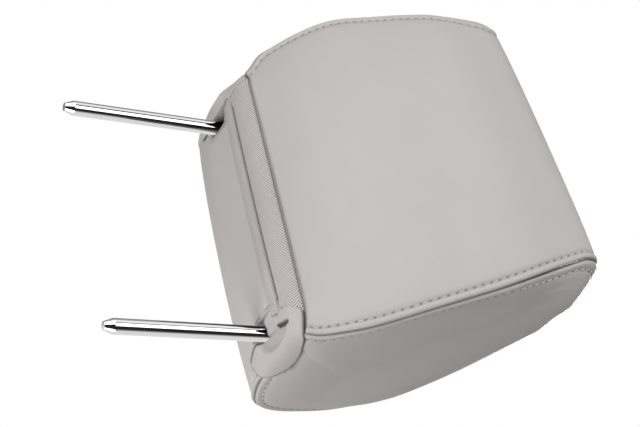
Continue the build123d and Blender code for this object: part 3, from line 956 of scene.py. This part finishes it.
def gaiter(name, side, depth):
    """The soft cloth that closes the slot in front of its post, with a few soft folds in it."""
    front, rear = SLOT_FRONT_Y - SLOT_R + 0.5, POST_FRONT_Y - GAITER_GAP
    v, h = np.meshgrid(np.linspace(0, 1, 49), np.linspace(-1, 1, 33), indexing="ij")
    round_end = 1 - np.sqrt(np.maximum(1 - h**2, 0))
    y0 = front + round_end * (SLOT_R - 0.5)
    y1 = rear + (1 - np.sqrt(np.maximum(1 - (h * 0.97) ** 2, 0))) * 4.9
    y = y0 + (y1 - y0) * v
    x = side * (SLOT_X + h * (SLOT_R - 0.35))
    p = underside(x, y)
    folds = 0.18 * np.sin(y * 0.8 + 1.5 * h) * smooth(v, 0.15, 0.5) + 0.2 * np.sin(h * 5.5 + 1.0) * v
    sink = 0.1 + depth * smooth(v, 0.25, 1.0) ** 1.5 + folds + 0.9 * smooth(np.abs(h), 0.86, 1.0)
    sink = sink + 2.6 * smooth(h, 0.3, 0.95) * smooth(v, 0.05, 0.35)      # down into the ear's recess
    p[..., 2] += sink
    # painted shade along its sides, where it meets the slot, and at its end by the post
    shade = 0.35 * smooth(np.abs(h), 0.9, 1.0) + 0.4 * smooth(v, 0.9, 1.0)
    faces = grid_faces(*p.shape[:2], flip=side < 0)
    made = add_mesh(name, p, faces, ear_cloth, shade, solid=0.5, cloth=(x, y))
    dress(made)
    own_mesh(made)


gaiter("slot_gaiter_right", 1, 2.0)
gaiter("slot_gaiter_left", -1, 7.0)


# ------------------------------------------------------------------ stitches
def stitch_mesh(name, centres, along, normal, length, radius, material):
    """One mesh of plump thread stitches, each a capsule that bows out of the leather."""
    rings, sides = 8, 8
    t = np.linspace(-1, 1, rings)
    across = np.cross(normal, along)
    points, faces = [], []
    for c, f, n, b in zip(centres, along, normal, across):
        start = len(points)
        for u in t:
            r = radius * math.sqrt(max(1 - abs(u) ** 5, 0.02))
            mid = c + f * (u * length / 2) - n * (0.55 * radius * u * u)
            for k in range(sides):
                turn = 2 * math.pi * k / sides
                points.append(mid + n * (r * math.cos(turn)) + b * (r * math.sin(turn)))
        for i in range(rings - 1):
            for k in range(sides):
                q = (k + 1) % sides
                faces.append((start + i * sides + k, start + i * sides + q,
                              start + (i + 1) * sides + q, start + (i + 1) * sides + k))
        faces.append(tuple(start + k for k in reversed(range(sides))))
        faces.append(tuple(start + (rings - 1) * sides + k for k in range(sides)))
    made = add_mesh(name, np.array(points), faces, material)
    return dress(made)


def row_frame(surface, a, q):
    """Centres and directions along the row for stitches at arc positions a."""
    c = surface(a, q)
    f = surface(a + 0.8, q) - surface(a - 0.8, q)
    f /= np.linalg.norm(f, axis=1)[:, None]
    return c, f


def tape_stitches():
    """The short row where each end of the front tape is sewn to its ear, its thread dark as painted shade of
    the stitch holes.
    """
    a = np.arange(CLOSING_A + 1.5, GAP_A - 0.5, 1.45)
    for side, word in SIDES:
        def on_tape(u, q):
            return tape_point(u, side * (tape_reach(u) - q), np.full_like(u, TAPE_PROUD + 0.35))

        c, f = row_frame(on_tape, a, 1.1)
        n = normals(band_at, a, side * (tape_reach(a) - 1.1) / ring(a)[2], -1)
        stitch_mesh(f"tape_stitches_{word}", c, f, n, 0.8, 0.24, stitch_hole_shade_thread)


def topstitch():
    k = np.arange(STITCHES)
    a = (k + 0.5) * PITCH
    shown = (a > GAP_A + 1.5) & (a < LOOP_LENGTH - 58)
    a = a[shown & (np.abs(a - TOP_SEAM_A) > 3.5)]
    for side, word in SIDES:
        def on_band(u, q):
            s = side * (1 - q / ring(u)[2])
            return band_sheet(u, s, [(GAP_A, 3.2), (TOP_SEAM_A, 2.0)])

        def on_side(u, q):
            return gusset_sheet(u, q, side)

        w = ring(a)[2]
        n = normals(band_at, a, side * (1 - ROW_D / w), -1)
        c, f = row_frame(on_band, a, ROW_D)
        stitch_mesh(f"topstitch_panel_{word}", c + n * 0.3, f, n, 3.4, 0.42, thread)
        n = normals(lambda u, v: gusset_at(u, v, side), a, np.full_like(a, ROW_D), -side)
        c, f = row_frame(on_side, a, ROW_D)
        stitch_mesh(f"topstitch_side_{word}", c + n * 0.35, f, n, 4.2, 0.5, thread)


topstitch()
tape_stitches()


# ------------------------------------------------------------------ camera, light, floor
LENS, SENSOR = 73.94, 36                   # in millimetres
CAMERA_PLACE = Vector((0.4856, -0.6101, -0.4093))
CAMERA_RIGHT = Vector((0.2410, -0.4620, 0.8532))
CAMERA_BACK = Vector((0.5461, -0.6615, -0.5130))
SOFTBOXES = [                              # name, place, size, power
    ("key", (-0.43, -1.23, -0.46), 1.3, 11.5),
    ("low_right", (0.42, 0.06, -0.30), 0.3, 1.2),
    ("below", (-0.1, 0.15, -0.8), 0.6, 2.8),
    ("front", (0.2, -1.1, 0.3), 0.8, 4.6),
]
CUSHION_MIDDLE = Vector((0, -0.03, 0.05))
SUN_FROM = Vector((-0.35, 0.6, 1.0))
SUN_POWER, SUN_ANGLE = 2.4, math.radians(25)
WHITE = (1, 1, 1, 1)
FILL = 0.13
BEHIND_POSTS = 123.3 / 360                 # the heading straight behind the posts, as a share of a turn
WALLS = [                                  # the studio's walls, seen in mirrors only: heading, brightness
    (0.0, 0.30), (0.16, 0.22), (0.21, 0.45), (0.25, 1.0), (0.31, 1.0), (0.35, 0.12), (0.385, 0.028),
    (0.6, 0.018), (0.64, 0.3), (0.675, 0.76), (0.9, 0.8), (1.0, 0.9),
]
FLOOR_SIZE, FLOOR_LEVEL = 40.0, -0.9


def camera():
    """The camera, with its axes squared to each other."""
    data = bpy.data.cameras.new("camera")
    data.sensor_width = SENSOR
    data.lens = LENS
    data.clip_start, data.clip_end = 0.01, 100
    back = CAMERA_BACK.normalized()
    up = back.cross(CAMERA_RIGHT.normalized()).normalized()
    turn = Matrix((up.cross(back), up, back)).transposed().to_4x4()
    made = add_object("camera", data)
    made.matrix_world = Matrix.Translation(CAMERA_PLACE) @ turn
    bpy.context.scene.camera = made


def add_light(name, kind, power, back, place=(0, 0, 0)):
    """A light at the place given, with its back turned in the direction given."""
    data = bpy.data.lights.new(name, kind)
    data.energy = power
    made = add_object(name, data)
    made.matrix_world = Matrix.Translation(place) @ back.to_track_quat("Z", "Y").to_matrix().to_4x4()
    return made


def lights():
    """Square softboxes that face the cushion and aren't seen themselves, and an overhead sun."""
    for name, place, size, power in SOFTBOXES:
        made = add_light(name, "AREA", power, Vector(place) - CUSHION_MIDDLE, place)
        made.data.shape = "SQUARE"
        made.data.size = size
        made.visible_camera = False
    add_light("overhead", "SUN", SUN_POWER, SUN_FROM).data.angle = SUN_ANGLE


def studio():
    """White to the camera, pale walls and one dark flag round the chrome, and a soft fill for the rest."""
    world = bpy.data.worlds.new("studio")
    world.use_nodes = True
    tree = NodeTree(world.node_tree)
    shown = tree.nodes["Background"]
    tree.feed(shown, WHITE, 1.0)
    direction = tree.node("ShaderNodeTexCoord").outputs["Generated"]
    x, y, _ = tree.node("ShaderNodeSeparateXYZ", Vector=direction).outputs
    turned = tree.span(
        tree.math("ARCTAN2", y, x), 0.0, 2 * math.pi, -BEHIND_POSTS, 1 - BEHIND_POSTS, clamp=False
    )
    walls = tree.node("ShaderNodeValToRGB", Fac=tree.math("WRAP", turned, 1.0, 0.0))
    ramp = walls.color_ramp
    ramp.elements[0].position, ramp.elements[1].position = WALLS[0][0], WALLS[-1][0]
    for position, _ in WALLS[1:-1]:
        ramp.elements.new(position)
    for element, (_, level) in zip(ramp.elements, WALLS):
        element.color = (level, level, level, 1)
    fill = tree.node("ShaderNodeBackground", Color=WHITE, Strength=FILL)
    mirrored = tree.node("ShaderNodeBackground", Color=walls.outputs[0])
    ray = tree.node("ShaderNodeLightPath").outputs
    unseen = tree.feed(
        tree.node("ShaderNodeMixShader"), ray["Is Glossy Ray"], fill.outputs[0], mirrored.outputs[0]
    )
    light = tree.feed(tree.node("ShaderNodeMixShader"), ray["Is Camera Ray"], unseen, shown.outputs[0])
    tree.links.new(light, tree.nodes["World Output"].inputs[0])
    bpy.context.scene.world = world
    bpy.context.scene.view_settings.view_transform = "Standard"


def floor():
    """A plain pale floor that throws no light back on the cushion and isn't seen in the chrome."""
    mesh = bpy.data.meshes.new("floor")
    corners = ((-1, -1), (1, -1), (1, 1), (-1, 1))
    mesh.from_pydata([(x * FLOOR_SIZE, y * FLOOR_SIZE, FLOOR_LEVEL) for x, y in corners], [], [(0, 1, 2, 3)])
    f = Finish("floor", (0.9, 0.9, 0.9), 0.8)
    f.paint(f.mix(f.noise(3.0, 2.0), (0.89, 0.89, 0.89), (0.91, 0.91, 0.91)))
    mesh.materials.append(f.material)
    made = add_object("floor", mesh)
    made.visible_diffuse = False
    made.visible_glossy = False


camera()
studio()
lights()
floor()
